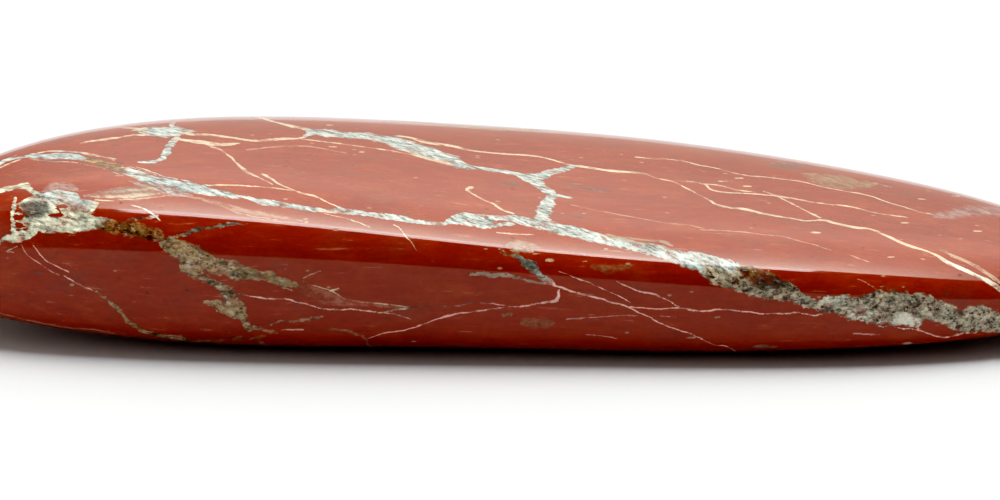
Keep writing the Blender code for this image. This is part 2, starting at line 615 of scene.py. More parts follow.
@dataclass
class NodeSheet:
    """Adds shader nodes to one tree and wires each of them as it is made."""

    tree: bpy.types.NodeTree

    def put(self, kind: str, **settings: object) -> bpy.types.Node:
        """Adds a node.

        Args:
            kind: what kind of node it is.
            settings: its own settings.

        Returns:
            The node.
        """
        node = self.tree.nodes.new(kind)
        for name, value in settings.items():
            setattr(node, name, value)
        return node

    def feed(self, socket: Socket, value: object) -> None:
        """Links a socket to another, or gives it a plain value.

        Args:
            socket: the input to feed.
            value: an output socket, a number, a vector or a colour of three parts.
        """
        if isinstance(value, bpy.types.NodeSocket):
            self.tree.links.new(value, socket)
        elif socket.type == "RGBA" and len(value) == 3:
            socket.default_value = (*value, 1.0)
        else:
            socket.default_value = value

    def math(self, operation: str, *values: object, clamp: bool = False) -> Socket:
        """A Math node.

        Args:
            operation: what it does.
            values: one to three numbers or sockets.
            clamp: True to keep the result between 0 and 1.

        Returns:
            The result.
        """
        node = self.put("ShaderNodeMath", operation=operation, use_clamp=clamp)
        for socket, value in zip(node.inputs, values):
            self.feed(socket, value)
        return node.outputs[0]

    def lerp(self, share: object, first: object, second: object) -> Socket:
        """A number between two others.

        Args:
            share: how far from the first to the second.
            first: the number at a share of 0.
            second: the number at a share of 1.

        Returns:
            The number.
        """
        node = self.put("ShaderNodeMix", data_type="FLOAT")
        for index, value in zip(MIX_NUMBERS, (share, first, second)):
            self.feed(node.inputs[index], value)
        return node.outputs[0]

    def blend(self, share: object, first: object, second: object) -> Socket:
        """A colour between two others.

        Args:
            share: how far from the first to the second.
            first: the colour at a share of 0.
            second: the colour at a share of 1.

        Returns:
            The colour.
        """
        node = self.put("ShaderNodeMix", data_type="RGBA")
        for index, value in zip(MIX_COLOURS, (share, first, second)):
            self.feed(node.inputs[index], value)
        return node.outputs[MIX_COLOUR_RESULT]

    def ease(
        self, value: object, low: object, high: object, bottom: object = 0.0, top: object = 1.0
    ) -> Socket:
        """A smooth step.

        Args:
            value: what drives the step.
            low: the value up to which the step stays at its bottom.
            high: the value from which on it stays at its top.
            bottom: the result at low.
            top: the result at high.

        Returns:
            The step.
        """
        node = self.put("ShaderNodeMapRange", interpolation_type="SMOOTHSTEP")
        for socket, given in zip(node.inputs, (value, low, high, bottom, top)):
            self.feed(socket, given)
        return node.outputs[0]

    def noise(self, place: object, pattern: Pattern) -> Socket:
        """Cloudy noise from 0 to 1.

        Args:
            place: where on the piece it is read.
            pattern: its size and character.

        Returns:
            The noise.
        """
        node = self.put("ShaderNodeTexNoise")
        self.feed(node.inputs["Vector"], place)
        node.inputs["Scale"].default_value = 1 / pattern.size
        node.inputs["Detail"].default_value = pattern.detail
        node.inputs["Roughness"].default_value = pattern.rough
        node.inputs["Distortion"].default_value = pattern.twist
        return node.outputs["Fac"]

    def stepped(self, place: object, pattern: Pattern) -> Socket:
        """A pattern's noise, sharpened into a smooth step between its low and high values."""
        return self.ease(self.noise(place, pattern), pattern.low, pattern.high)

    def swing(self, place: object, pattern: Pattern) -> Socket:
        """A pattern's noise, shifted so that it swings about 0."""
        return self.math("SUBTRACT", self.noise(place, pattern), 0.5)

    def grains(self, place: object, size: float) -> tuple[Socket, Socket]:
        """Cells that fill the space.

        Args:
            place: where on the piece they are read.
            size: about how large a cell is, in mm.

        Returns:
            The distance from the cell's middle, in cells, and the cell's own random number.
        """
        node = self.put("ShaderNodeTexVoronoi")
        self.feed(node.inputs["Vector"], place)
        self.feed(node.inputs["Scale"], 1 / size)
        return node.outputs["Distance"], self.split(node.outputs["Color"])[0]

    def dots(self, place: object, scatter: Scatter) -> Socket:
        """Scattered dots.

        Args:
            place: where on the piece they are read.
            scatter: their size and how many there are.

        Returns:
            1 inside a dot and 0 outside: the dot's own step times that of its cell's number.
        """
        reach, number = self.grains(place, scatter.size)
        dot = self.ease(reach, scatter.rim, scatter.core)
        return self.math("MULTIPLY", dot, self.ease(number, scatter.bare, scatter.full))

    def split(self, vector: object) -> tuple[Socket, ...]:
        """The three parts of a vector.

        Args:
            vector: the vector, or a colour.

        Returns:
            Its x, y and z.
        """
        node = self.put("ShaderNodeSeparateXYZ")
        self.feed(node.inputs[0], vector)
        return tuple(node.outputs)

    def turned(self, vector: object, degrees: float) -> Socket:
        """A vector turned about Z.

        Args:
            vector: the vector.
            degrees: the angle.

        Returns:
            The turned vector.
        """
        node = self.put("ShaderNodeVectorRotate", rotation_type="Z_AXIS")
        self.feed(node.inputs["Vector"], vector)
        node.inputs["Angle"].default_value = math.radians(degrees)
        return node.outputs[0]

    def scaled(self, vector: object, factors: Triple) -> Socket:
        """A vector with each part multiplied by its own factor.

        Args:
            vector: the vector.
            factors: what its x, y and z are multiplied by.

        Returns:
            The product.
        """
        node = self.put("ShaderNodeVectorMath", operation="MULTIPLY")
        self.feed(node.inputs[0], vector)
        node.inputs[1].default_value = factors
        return node.outputs[0]

    def squeezed(self, vector: object, stretch: float) -> Socket:
        """A place whose X is divided by a stretch, so that what is read there comes out that much longer."""
        return self.scaled(vector, (1 / stretch, 1.0, 1.0))

    def shaded(self, colour: object, shade: object) -> Socket:
        """A colour made lighter or darker.

        Args:
            colour: the colour.
            shade: what it is multiplied by.

        Returns:
            The product.
        """
        node = self.put("ShaderNodeVectorMath", operation="SCALE")
        self.feed(node.inputs[0], colour)
        self.feed(node.inputs["Scale"], shade)
        return node.outputs[0]

    def vector(self, name: str) -> Socket:
        """One of the mesh's attributes, as a vector."""
        return self.put("ShaderNodeAttribute", attribute_name=name).outputs["Vector"]

    def attribute(self, name: str) -> tuple[Socket, ...]:
        """The three parts of one of the mesh's attributes."""
        return self.split(self.vector(name))


@dataclass(frozen=True)
class JasperFinish:
    """The polished red stone and what fills its veins. Colours are linear, and lengths in mm.

    A pair named for a reach, a cover or a range holds the value for clean filling or new polish
    first, and that for loose grit or worn polish second. A pair named for a gain holds a slope and
    what is added to it.
    """

    deep_red: Triple = (0.236, 0.0285, 0.0110)
    plain_red: Triple = (0.274, 0.0360, 0.0130)
    brick_red: Triple = (0.302, 0.0490, 0.0155)
    smoky_red: Triple = (0.212, 0.0460, 0.0310)
    fleck_pink: Triple = (0.480, 0.290, 0.2000)
    pale_grit: Triple = (0.560, 0.550, 0.4800)
    dark_grit: Triple = (0.035, 0.032, 0.0260)
    grain_stretch: float = 1.9
    vein_stretch: float = 2.6
    vein_course_deg: float = 33.0

    gloss_level: float = 0.42
    polish: float = 0.07
    wear: Pattern = Pattern(7.0, 4.0, 0.6, low=0.3, high=0.75)
    wear_range: Pair = (0.75, 1.35)
    pit_roughness: float = 0.5
    grit_roughness: float = 0.30
    bump_strength: float = 0.32
    bump_depth: float = 0.06
    vein_height: float = -0.25
    pit_height: float = -0.9
    ripple: Pattern = Pattern(5.0, 2.0, 0.5)
    ripple_height: float = 0.6

    slow_wander: Pattern = Pattern(2.6, 2.0)
    quick_wander: Pattern = Pattern(0.7)
    wander_reach: Pair = (0.26, 0.8)
    swell: Pattern = Pattern(1.3, 2.0, 0.6)
    swell_gain: Pair = (1.5, 0.25)
    fringe: Pattern = Pattern(0.3, 3.0, 0.65)
    fringe_reach: Pair = (0.10, 0.8)
    fading: Pattern = Pattern(1.2, 4.0, 0.7, low=0.40, high=0.51)
    least_cover: Pair = (0.25, 0.85)
    softness_gain: Pair = (-0.5, 0.6)
    least_softness: float = 0.03

    clouds: Pattern = Pattern(9.0, 4.0, 0.6, 0.6, 0.30, 0.60)
    streaks: Pattern = Pattern(2.2, 4.0, 0.65, 0.4, 0.44, 0.72)
    smoke: Pattern = Pattern(4.5, 3.0, 0.6, low=0.54, high=0.74)
    smoke_share: float = 0.6
    red_grain: Pattern = Pattern(0.3, 3.0, 0.7)
    shade_gain: Pair = (0.5, 0.75)
    hairs: Pattern = Pattern(0.42, 3.0, 0.7, low=0.63, high=0.74)
    hair_stretch: float = 6.25
    hair_share: float = 0.38
    flecks: Scatter = Scatter(1.1, 0.17, 0.05, 0.82, 0.90, 0.9)
    pits: Scatter = Scatter(0.7, 0.20, 0.10, 0.90, 0.95, 0.55)

    grain_size: float = 0.26
    grain_light: float = 0.8
    lump_size: float = 0.7
    lump_light: float = 0.5
    wisps: Pattern = Pattern(0.55, 4.0, 0.72)
    wisp_light: float = 3.2
    drifts: Pattern = Pattern(1.6, 3.0, 0.6)
    drift_light: float = 1.6
    mean_light: float = 3.05
    least_shade: float = 0.2
    specks: Pattern = Pattern(0.4, 3.0, 0.7, low=0.56, high=0.68)
    speck_share: float = 0.6
    seams: Pattern = Pattern(0.6, 4.0, 0.75, low=0.465, high=0.37)
    seam_share: float = 0.8
    grain_dome: float = 0.8

    def build(self, channels: int) -> bpy.types.Material:
        """Makes the stone's material.

        Args:
            channels: how many vein channels the mesh holds.

        Returns:
            The material.
        """
        material = bpy.data.materials.new("polished_red_jasper")
        material.use_nodes = True
        sheet = NodeSheet(material.node_tree)
        shader = material.node_tree.nodes["Principled BSDF"]
        place = sheet.scaled(sheet.put("ShaderNodeTexCoord").outputs["Object"], (1 / MM,) * 3)
        drawn = sheet.squeezed(place, self.grain_stretch)
        laid = sheet.squeezed(sheet.turned(place, self.vein_course_deg), self.vein_stretch)
        grit, contrast, _ = sheet.attribute("vein_tone")
        cover = self.vein_cover(sheet, laid, grit, channels)
        red, pits = self.red(sheet, drawn)
        filling, grains = self.filling(sheet, laid, contrast)
        loose = sheet.math("MULTIPLY", cover, grit)
        height = sheet.math("MULTIPLY", loose, grains)
        height = sheet.math("MULTIPLY_ADD", cover, self.vein_height, height)
        sheet.feed(shader.inputs["Base Color"], sheet.blend(cover, red, filling))
        sheet.feed(shader.inputs["Roughness"], self.roughness(sheet, place, loose, pits))
        shader.inputs["Specular IOR Level"].default_value = self.gloss_level
        sheet.feed(shader.inputs["Normal"], self.relief(sheet, place, height, pits))
        return material

    def roughness(self, sheet: NodeSheet, place: object, loose: object, pits: object) -> Socket:
        """How rough the surface is: a faintly uneven polish, dull in the pits and on loose grit.

        Args:
            sheet: the material's nodes.
            place: the place on the stone, in mm.
            loose: the share of loose grit.
            pits: the share of pits.

        Returns:
            The roughness.
        """
        fresh, worn = (self.polish * part for part in self.wear_range)
        plain = sheet.ease(sheet.noise(place, self.wear), self.wear.low, self.wear.high, fresh, worn)
        plain = sheet.lerp(pits, plain, self.pit_roughness)
        return sheet.lerp(loose, plain, self.grit_roughness)

    def relief(self, sheet: NodeSheet, place: object, height: object, pits: object) -> Socket:
        """The surface's fine relief, as a bent normal.

        Args:
            sheet: the material's nodes.
            place: the place on the stone, in mm.
            height: the height of the veins and their grains, as shares of the bump's depth.
            pits: the share of pits.

        Returns:
            The normal.
        """
        height = sheet.math("MULTIPLY_ADD", pits, self.pit_height, height)
        ripple = sheet.noise(place, self.ripple)
        height = sheet.math("MULTIPLY_ADD", ripple, self.ripple_height, height)
        bump = sheet.put("ShaderNodeBump")
        bump.inputs["Strength"].default_value = self.bump_strength
        bump.inputs["Distance"].default_value = self.bump_depth * MM
        sheet.feed(bump.inputs["Height"], height)
        return bump.outputs[0]

    def vein_cover(self, sheet: NodeSheet, laid: object, grit: object, channels: int) -> Socket:
        """How much of the red is covered.

        A channel covers where its half-width, swollen and fringed by noise, is more than the
        distance to its vein, shifted by slower noise. Fainter veins have softer edges. The fullest
        channel counts, less the islands, and all of it fades here and there.

        Args:
            sheet: the material's nodes.
            laid: the place on the stone in mm, drawn out along the veins.
            grit: the share of loose grit in the filling.
            channels: how many vein channels the mesh holds.

        Returns:
            The cover, from 0 to 1.
        """
        wander = sheet.math("ADD", sheet.swing(laid, self.slow_wander), sheet.swing(laid, self.quick_wander))
        shift = sheet.math("MULTIPLY", wander, sheet.lerp(grit, *self.wander_reach))
        swell = sheet.math("MULTIPLY_ADD", sheet.noise(laid, self.swell), *self.swell_gain)
        ragged = sheet.math("MULTIPLY", sheet.swing(laid, self.fringe), sheet.lerp(grit, *self.fringe_reach))
        least = sheet.lerp(grit, *self.least_cover)
        fading = sheet.ease(sheet.noise(laid, self.fading), self.fading.low, self.fading.high, least, 1.0)

        total: object = 0.0
        for index in range(channels):
            drawn = self.channel_cover(sheet, f"vein_{index}", shift, swell, ragged)
            total = sheet.math("MAXIMUM", total, sheet.math("MULTIPLY", *drawn))
        island, _ = self.channel_cover(sheet, "islands", shift, swell, ragged)
        kept = sheet.math("MULTIPLY", total, sheet.math("SUBTRACT", 1.0, island))
        return sheet.math("MULTIPLY", kept, fading)

    def channel_cover(
        self, sheet: NodeSheet, name: str, shift: object, swell: object, ragged: object
    ) -> tuple[Socket, Socket]:
        """What one channel covers, before its strength counts.

        Args:
            sheet: the material's nodes.
            name: the channel's attribute.
            shift: how far its veins are pushed aside, in mm.
            swell: what their half-widths are multiplied by.
            ragged: what is added to their half-widths, in mm.

        Returns:
            The cover, and the channel's strength.
        """
        distance, half, strength = sheet.attribute(name)
        off = sheet.math("ABSOLUTE", sheet.math("ADD", distance, shift))
        inside = sheet.math("SUBTRACT", sheet.math("MULTIPLY_ADD", half, swell, ragged), off)
        faint = sheet.math("MULTIPLY_ADD", strength, *self.softness_gain)
        width = sheet.math("MAXIMUM", half, 0.0)
        soft = sheet.math("MULTIPLY_ADD", faint, width, self.least_softness)
        return sheet.ease(inside, sheet.math("MULTIPLY", soft, -1.0), soft), strength

    def red(self, sheet: NodeSheet, drawn: object) -> tuple[Socket, Socket]:
        """The red of the stone, clouded, streaked, flecked and pitted.

        Args:
            sheet: the material's nodes.
            drawn: the place on the stone in mm, drawn out along X.

        Returns:
            The colour, and the share of each spot that is a pit.
        """
        colour = sheet.blend(sheet.stepped(drawn, self.clouds), self.deep_red, self.plain_red)
        colour = sheet.blend(sheet.stepped(drawn, self.streaks), colour, self.brick_red)
        smoke = sheet.math("MULTIPLY", sheet.stepped(drawn, self.smoke), self.smoke_share)
        colour = sheet.blend(smoke, colour, self.smoky_red)
        grain = sheet.noise(drawn, self.red_grain)
        colour = sheet.shaded(colour, sheet.math("MULTIPLY_ADD", grain, *self.shade_gain))
        hairs = sheet.noise(sheet.squeezed(drawn, self.hair_stretch), self.hairs)
        colour = sheet.shaded(colour, sheet.math("MULTIPLY_ADD", hairs, *self.shade_gain))
        pale = sheet.math("MULTIPLY", sheet.ease(hairs, self.hairs.low, self.hairs.high), self.hair_share)
        colour = sheet.blend(pale, colour, self.fleck_pink)
        flecks = sheet.math("MULTIPLY", sheet.dots(drawn, self.flecks), self.flecks.strength)
        colour = sheet.blend(flecks, colour, self.fleck_pink)
        pits = sheet.dots(drawn, self.pits)
        dark = sheet.math("MULTIPLY", pits, self.pits.strength)
        return sheet.blend(dark, colour, self.dark_grit), pits

    def filling(self, sheet: NodeSheet, laid: object, contrast: object) -> tuple[Socket, Socket]:
        """What fills the veins: each kind's colour, broken up by grains, wisps, specks and seams.

        Args:
            sheet: the material's nodes.
            laid: the place on the stone in mm, drawn out along the veins.
            contrast: how far the filling's grains differ.

        Returns:
            The colour, and how high each grain stands, as a share of the bump's depth.
        """
        reach, number = sheet.grains(laid, self.grain_size)
        _, lump = sheet.grains(laid, self.lump_size)
        light = sheet.math("MULTIPLY", lump, self.lump_light)
        light = sheet.math("MULTIPLY_ADD", number, self.grain_light, light)
        light = sheet.math("MULTIPLY_ADD", sheet.noise(laid, self.wisps), self.wisp_light, light)
        light = sheet.math("MULTIPLY_ADD", sheet.noise(laid, self.drifts), self.drift_light, light)
        light = sheet.math("SUBTRACT", light, self.mean_light)
        shade = sheet.math("MAXIMUM", sheet.math("MULTIPLY_ADD", light, contrast, 1.0), self.least_shade)
        colour = sheet.shaded(sheet.vector("vein_colour"), shade)
        speck = sheet.math("MULTIPLY", sheet.stepped(laid, self.specks), contrast)
        colour = sheet.blend(sheet.math("MULTIPLY", speck, self.speck_share), colour, self.pale_grit)
        seam = sheet.math("MULTIPLY", sheet.stepped(laid, self.seams), contrast)
        colour = sheet.blend(sheet.math("MULTIPLY", seam, self.seam_share), colour, self.dark_grit)
        return colour, sheet.math("SUBTRACT", number, sheet.math("MULTIPLY", reach, self.grain_dome))


@dataclass(frozen=True)
class FloorFinish:
    """A plain matt white sweep, whose faint patches are sized in metres."""

    white: Triple = (0.615, 0.635, 0.690)
    roughness: float = 0.9
    patches: Pattern = Pattern(0.4, 2.0)
    patch_shade: float = 0.985

    def build(self) -> bpy.types.Material:
        """Makes the floor's material: white, with a trace of unevenness.

        Returns:
            The material.
        """
        material = bpy.data.materials.new("white_sweep")
        material.use_nodes = True
        sheet = NodeSheet(material.node_tree)
        shader = material.node_tree.nodes["Principled BSDF"]
        place = sheet.put("ShaderNodeTexCoord").outputs["Object"]
        dull = tuple(part * self.patch_shade for part in self.white)
        white = sheet.blend(sheet.noise(place, self.patches), dull, self.white)
        sheet.feed(shader.inputs["Base Color"], white)
        shader.inputs["Roughness"].default_value = self.roughness
        shader.inputs["Specular IOR Level"].default_value = 0.0
        return material


@dataclass(frozen=True)
class Softbox:
    """A flat lamp above the stone, level with the floor, in metres and watts."""

    name: str
    height: float
    span: Pair
    width: float
    radiance: float

    def build(self) -> None:
        """Hangs the lamp, which shines down and isn't seen itself."""
        near, far = self.span
        depth = far - near
        data = bpy.data.lights.new(self.name, "AREA")
        data.shape = "RECTANGLE"
        data.size = self.width
        data.size_y = depth
        data.energy = self.radiance * math.pi * self.width * depth
        lamp = bpy.data.objects.new(self.name, data)
        lamp.location = (0.0, (near + far) / 2, self.height)
        lamp.visible_camera = False
        bpy.context.scene.collection.objects.link(lamp)


@dataclass
class Studio:
    """The floor, the lamp and the surroundings that the polish reflects.

    The surroundings are dark in front of the stone, on the camera's side, and bright behind it,
    where they grow brighter towards right above. White walls stand to the left and right. The
    camera itself sees plain white past the floor. Each fade holds where it ends and where it is
    full, with what is left at its end for the first three, and each wall where it begins and is
    full, with its radiance.
    """

    floor_half: float = 4.0
    floor_drop: float = 0.00003
    lamp: Softbox = Softbox("key_softbox", 3.0, (-0.42, 0.02), 1.3, 13.0)
    dark_radiance: float = 0.03
    white_radiance: float = 1.42
    glow_radiance: float = 10.8
    glow_power: float = 1.9
    horizon: Triple = (1.0, 0.90, 0.48)
    thick_fade: Triple = (-0.38, -0.06, 0.10)
    thin_fade: Triple = (0.60, 0.15, 0.08)
    back_fade: Pair = (-0.03, 0.03)
    thick_wall: Triple = (0.50, 0.80, 2.1)
    thin_wall: Triple = (0.60, 0.85, 1.2)
    warmth: Triple = (1.0, 0.98, 0.87)
    seen_white: Triple = (1.0, 1.0, 1.0)
    tone_curve: tuple[Pair, ...] = (
        (0.028, 0.003), (0.056, 0.020), (0.098, 0.057), (0.178, 0.140), (0.33, 0.300), (0.6, 0.6))

    def floor(self) -> None:
        """Lays the floor, a flat square just below the stone."""
        half, low = self.floor_half, -self.floor_drop
        corners = [(-half, -half, low), (half, -half, low), (half, half, low), (-half, half, low)]
        mesh = bpy.data.meshes.new("floor")
        mesh.from_pydata(corners, [], [(0, 1, 2, 3)])
        mesh.materials.append(FloorFinish().build())
        floor = bpy.data.objects.new("floor", mesh)
        bpy.context.scene.collection.objects.link(floor)

    def radiance(self, sheet: NodeSheet) -> Socket:
        """How bright the surroundings are in each direction.

        lean is the sine of the angle behind the zenith and side that of the angle off to a side.
        The back is white plus a glow that grows as a power of 1 less lean, times its fades. The two
        walls are added to it.

        Args:
            sheet: the world's nodes.

        Returns:
            The radiance.
        """
        side, back, up = sheet.split(sheet.put("ShaderNodeTexCoord").outputs["Generated"])
        squares = sheet.math("ADD", sheet.math("POWER", back, 2.0), sheet.math("POWER", up, 2.0))
        lean = sheet.math("DIVIDE", back, sheet.math("MAXIMUM", sheet.math("SQRT", squares), SMALL))
        steep = sheet.math("SUBTRACT", 1.0, lean, clamp=True)
        glow = sheet.math("POWER", steep, self.glow_power)
        level = sheet.math("MULTIPLY_ADD", glow, self.glow_radiance, self.white_radiance)
        for driver, fade in ((lean, self.horizon), (side, self.thick_fade), (side, self.thin_fade)):
            level = sheet.math("MULTIPLY", level, sheet.ease(driver, *fade))
        level = sheet.math("MULTIPLY", level, sheet.ease(lean, *self.back_fade))
        low, high, white = self.thin_wall
        level = sheet.math("ADD", level, sheet.ease(side, low, high, self.dark_radiance, white))
        low, high, white = self.thick_wall
        return sheet.math("ADD", level, sheet.ease(side, -low, -high, 0.0, white))

    def surroundings(self) -> None:
        """Makes the world: its radiance for the stone and the floor, and plain white for the camera."""
        world = bpy.data.worlds.new("studio")
        bpy.context.scene.world = world
        world.use_nodes = True
        world.node_tree.nodes.clear()
        sheet = NodeSheet(world.node_tree)
        level = self.radiance(sheet)
        seen = sheet.put("ShaderNodeLightPath").outputs["Is Camera Ray"]
        background = sheet.put("ShaderNodeBackground")
        sheet.feed(background.inputs["Color"], sheet.blend(seen, self.warmth, self.seen_white))
        sheet.feed(background.inputs["Strength"], sheet.lerp(seen, level, 1.0))
        output = sheet.put("ShaderNodeOutputWorld")
        sheet.feed(output.inputs["Surface"], background.outputs[0])

    def develop(self) -> None:
        """Sets the picture's tones: plain, with the deepest shades held down as in a print."""
        settings = bpy.context.scene.view_settings
        settings.view_transform = "Standard"
        settings.use_curve_mapping = True
        *_, combined = settings.curve_mapping.curves
        for dark, printed in self.tone_curve:
            combined.points.new(dark, printed)
        settings.curve_mapping.update()

    def build(self) -> None:
        """Sets up the whole studio."""
        self.floor()
        self.surroundings()
        self.lamp.build()
        self.develop()


@dataclass
class RedJasper:
    """The stone itself: its fine mesh, its veins and its finish."""

    form: StoneForm
    camera: PhotoCamera
    finish: JasperFinish
    veins: tuple[Vein, ...]
    stains: tuple[Vein, ...]
    islands: tuple[Vein, ...]

    def build(self) -> bpy.types.Object:
        """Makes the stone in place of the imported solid.

        Returns:
            The stone's object.
        """
        surface = StoneMesh(self.form)
        layer = VeinLayer(surface, self.camera)
        paths = [layer.lay(vein) for vein in self.veins]
        stains = [layer.lay(vein) for vein in self.stains]
        groups = layer.channels(sorted(paths, key=lambda path: -len(path.spots)))
        log.info("veins: %d in %d channels", len(paths), len(groups))
        mesh = bpy.data.meshes.new("polished_stone")
        mesh.from_pydata(surface.vertices.tolist(), [], surface.faces())
        mesh.shade_smooth()
        for index, group in enumerate(groups):
            self.write(mesh, f"vein_{index}", layer.channel_values(group))
        islands = [layer.lay(island) for island in self.islands]
        self.write(mesh, "islands", layer.channel_values(islands))
        tones = layer.tones(paths + stains)
        self.write(mesh, "vein_colour", tones[:, :3])
        self.write(mesh, "vein_tone", tones[:, 3:])
        mesh.materials.append(self.finish.build(len(groups)))
        stone = bpy.data.objects.new("polished_stone", mesh)
        bpy.context.scene.collection.objects.link(stone)
        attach(stone, "root")
        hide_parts(NODE_NAME)
        return stone

    @staticmethod
    def write(mesh: bpy.types.Mesh, name: str, values: np.ndarray) -> None:
        """Puts three values for each vertex into one of the mesh's attributes."""
        attribute = mesh.attributes.new(name, "FLOAT_VECTOR", "POINT")
        attribute.data.foreach_set("vector", values.astype(np.float32).ravel())


def thin(thickness: float, *spots: tuple[float, float]) -> Stops:
    """Stops of one thickness, in pixels."""
    return tuple((x, y, thickness) for x, y in spots)


def fleck(
    name: str, kind: Kind, x: float, y: float, length: float, thickness: float, strength: float = 1.0
) -> Vein:
    """A short level stroke about a pixel."""
    return Vein(name, kind, ((x - length / 2, y, thickness), (x + length / 2, y, thickness)), strength)


TOP_LEFT_VEINS = (
    Vein("corner_blob", Kind.SHARDS, (
        (140, 130, 6), (150, 130, 10), (162, 131, 12), (175, 131, 12), (185, 131, 8))),
    Vein("corner_spur", Kind.SHARDS, ((171, 128, 6), (172, 124, 5), (175, 122.5, 3))),
    Vein("corner_line_low", Kind.CREAM, (
        (143, 135.5, 3), (133, 135, 3), (122, 137, 2), (114, 138, 3), (100, 140, 3), (88, 141.5, 2.5),
        (80, 143.5, 1.5))),
    Vein("corner_line_high", Kind.CREAM, (
        (141, 129, 3), (125, 127.5, 2.5), (110, 126, 2), (100, 126.5, 1.5))),
    Vein("left_branch", Kind.SHARDS, (
        (177, 137, 7), (172, 143, 9), (168, 149, 9), (165, 155, 8), (160, 160, 6), (150, 162, 4),
        (139, 162, 2.5))),
    Vein("left_branch_tail", Kind.CREAM, thin(
        1.8, (116, 159), (99.5, 156), (86, 153), (63, 151.4), (33, 154.7)),
        after=((-56, 118, 0.5), (-60, 100, 0.4))),
    Vein("far_row", Kind.CREAM, (
        (186, 134, 3), (196, 134.5, 4), (210, 135, 4.5), (222, 136.5, 3.5), (238, 138.5, 2.5),
        (251, 140.6, 3), (265, 140.3, 3), (280, 139, 4), (301, 138, 3), (310, 133.6, 3))),
    Vein("second_row", Kind.CREAM, (
        (178, 139, 3), (187, 140.6, 4), (203, 143, 6), (220.5, 144.8, 5), (239, 143, 2))),
    Vein("slant_line", Kind.CREAM, (
        (210.6, 146.5, 4), (220.5, 149.8, 3.5), (232, 158, 3), (240.4, 166.4, 4), (248.7, 173, 4),
        (260, 178, 2), (273, 184.6, 1.5))),
    Vein("slant_line_run", Kind.CREAM, (
        (262, 173.8, 3), (271.5, 178.8, 3.5), (278, 183.8, 2), (293, 189.6, 2), (301, 193, 2.5),
        (314.6, 196, 2.5), (329.5, 202.8, 2), (344, 208.6, 2))),
    Vein("left_hairline", Kind.CREAM, thin(
        2, (136, 167), (149, 171), (166, 177), (187, 181), (199, 184.6), (220.5, 185), (251.5, 186),
        (265, 187), (280, 188.7), (293, 190.4))),
    Vein("rim_line", Kind.CREAM, (
        (256, 116.5, 2), (268, 120, 2.5), (281, 123.5, 2.5), (293, 126.5, 5), (303, 128.3, 4),
        (316, 131.6, 6)), before=((-30, -25, 0.5), (-29, 0, 0.7), (-27, 18, 0.6))),
)

